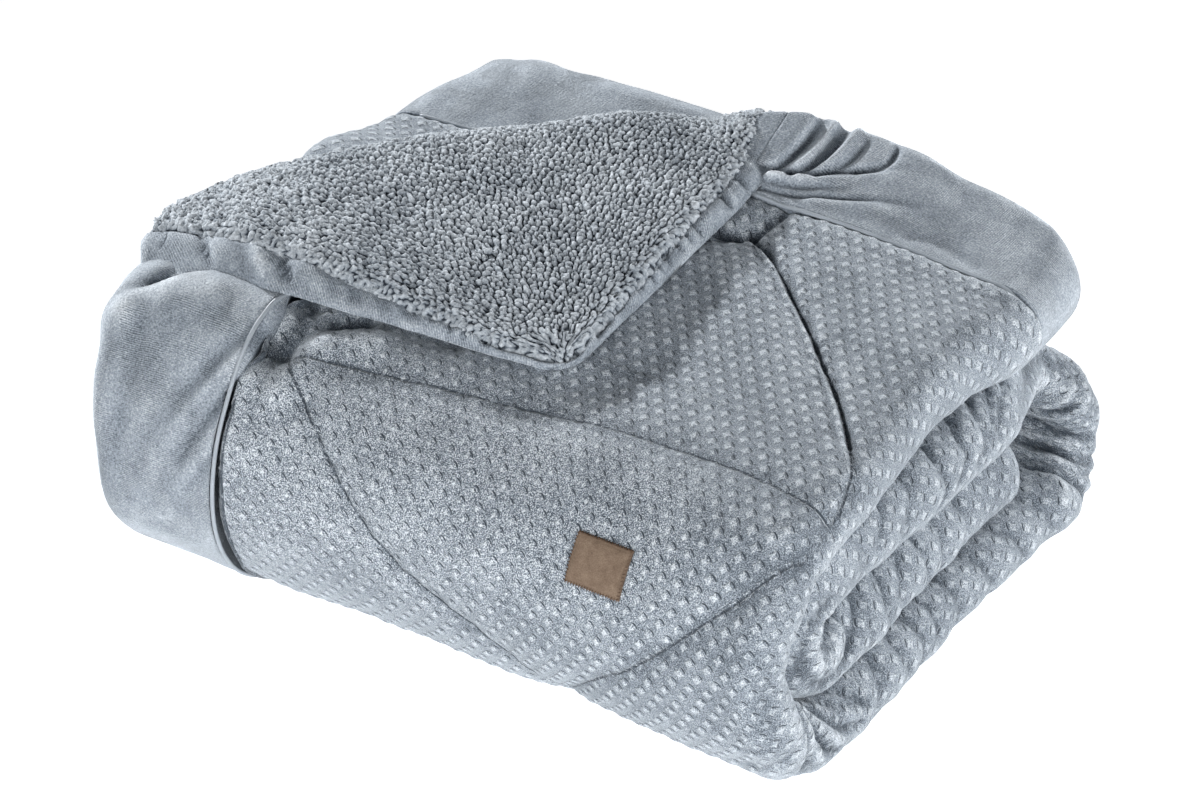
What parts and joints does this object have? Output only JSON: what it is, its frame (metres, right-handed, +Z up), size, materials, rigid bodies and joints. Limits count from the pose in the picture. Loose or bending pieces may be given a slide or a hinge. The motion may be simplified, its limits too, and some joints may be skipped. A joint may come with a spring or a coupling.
{
  "type": "folded comforter",
  "caption": "Folded plush comforter with an embossed quilted centre, plain piped borders and a corner turned back to show its sherpa lining.",
  "frame": {"origin": "middle of the bundle's box at its underside, on the surface it rests on", "axes": "+X along the bundle towards its rounded layered end, -Y towards the front wrap, +Z up"},
  "size_m": [0.7286, 0.5976, 0.309],
  "materials": {
    "embossed_velvet": "short velvet pile embossed with a small lattice, steel blue-grey",
    "plain_velvet": "plain short velvet pile, steel blue-grey",
    "sherpa": "nubby sherpa pile, steel blue-grey",
    "piping": "smooth satin-like corded piping, blue-grey",
    "patch": "bare matt brown imitation leather"
  },
  "bodies": {
    "root": {"quilted_centre": "embossed_velvet", "border_left": "plain_velvet", "border_under": "plain_velvet", "border_back": "plain_velvet", "turned_corner": "plain_velvet", "sherpa_lining": "sherpa", "piping_left": "piping", "piping_under": "piping", "piping_back": "piping", "patch": "patch"}
  },
  "joints": []
}
